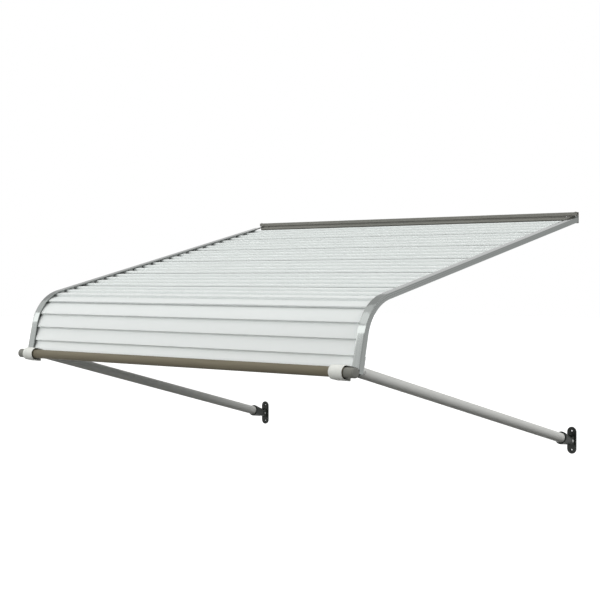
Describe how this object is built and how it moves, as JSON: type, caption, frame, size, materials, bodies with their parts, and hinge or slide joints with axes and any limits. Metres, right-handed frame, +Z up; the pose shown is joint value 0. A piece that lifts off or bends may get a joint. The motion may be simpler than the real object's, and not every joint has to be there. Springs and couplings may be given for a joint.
{
  "type": "aluminium door canopy",
  "caption": "Wall-mounted door canopy: sloped roof of white fluted panels bent into a short front drop, grey side arms, header rail, round front bar and tube struts with black wall feet.",
  "frame": {"origin": "middle of the header rail's wall face, at the height of the roof's top edge", "axes": "+X along the wall, +Y into the wall, so the canopy reaches out along -Y, and +Z up"},
  "size_m": [1.2302, 0.9754, 0.6623],
  "materials": {
    "white_enamel": "satin",
    "mill_aluminium": "satin",
    "header_aluminium": "satin",
    "bar_aluminium": "satin",
    "strut_aluminium": "satin",
    "white_plastic": "satin",
    "grey_plastic": "satin",
    "dark_rubber": "matte",
    "black_plastic": "satin",
    "zinc_steel": "satin"
  },
  "bodies": {
    "root": {"header_rail": "header_aluminium", "front_bar": "bar_aluminium", "roof_panel_1": "white_enamel", "roof_panel_2": "white_enamel", "roof_panel_3": "white_enamel", "roof_panel_4": "white_enamel", "roof_panel_5": "white_enamel", "roof_panel_6": "white_enamel", "roof_panel_7": "white_enamel", "side_arm_left": "mill_aluminium", "corner_screw_left": "zinc_steel", "bar_plug_left": "grey_plastic", "bar_bush_left": "dark_rubber", "bar_clip_left": "white_plastic", "clip_rivet_left": "mill_aluminium", "strut_bracket_left": "mill_aluminium", "bracket_rivet_left_upper": "mill_aluminium", "bracket_rivet_left_lower": "mill_aluminium", "strut_bolt_left": "zinc_steel", "strut_nut_left": "zinc_steel", "side_arm_right": "mill_aluminium", "corner_screw_right": "zinc_steel", "bar_plug_right": "grey_plastic", "bar_bush_right": "dark_rubber", "bar_clip_right": "white_plastic", "clip_rivet_right": "mill_aluminium", "strut_bracket_right": "mill_aluminium", "bracket_rivet_right_upper": "mill_aluminium", "bracket_rivet_right_lower": "mill_aluminium", "strut_bolt_right": "zinc_steel", "strut_nut_right": "zinc_steel"},
    "strut_left": {"support_strut_left": "strut_aluminium", "strut_socket_left": "black_plastic"},
    "foot_left": {"wall_foot_left": "black_plastic", "foot_pin_left": "zinc_steel"},
    "strut_right": {"support_strut_right": "strut_aluminium", "strut_socket_right": "black_plastic"},
    "foot_right": {"wall_foot_right": "black_plastic", "foot_pin_right": "zinc_steel"}
  },
  "joints": [
    {"name": "strut_left_pivot", "type": "hinge", "parent": "root", "child": "strut_left", "pos_m": [-0.582, -0.90547, -0.37158], "axis": [1, 0, 0], "range_deg": [-75, 28]},
    {"name": "foot_left_knuckle", "type": "hinge", "parent": "strut_left", "child": "foot_left", "pos_m": [-0.582, -0.015, -0.603], "axis": [1, 0, 0], "range_deg": [-45, 45]},
    {"name": "strut_right_pivot", "type": "hinge", "parent": "root", "child": "strut_right", "pos_m": [0.582, -0.90547, -0.37158], "axis": [1, 0, 0], "range_deg": [-75, 28]},
    {"name": "foot_right_knuckle", "type": "hinge", "parent": "strut_right", "child": "foot_right", "pos_m": [0.582, -0.015, -0.603], "axis": [1, 0, 0], "range_deg": [-45, 45]}
  ]
}
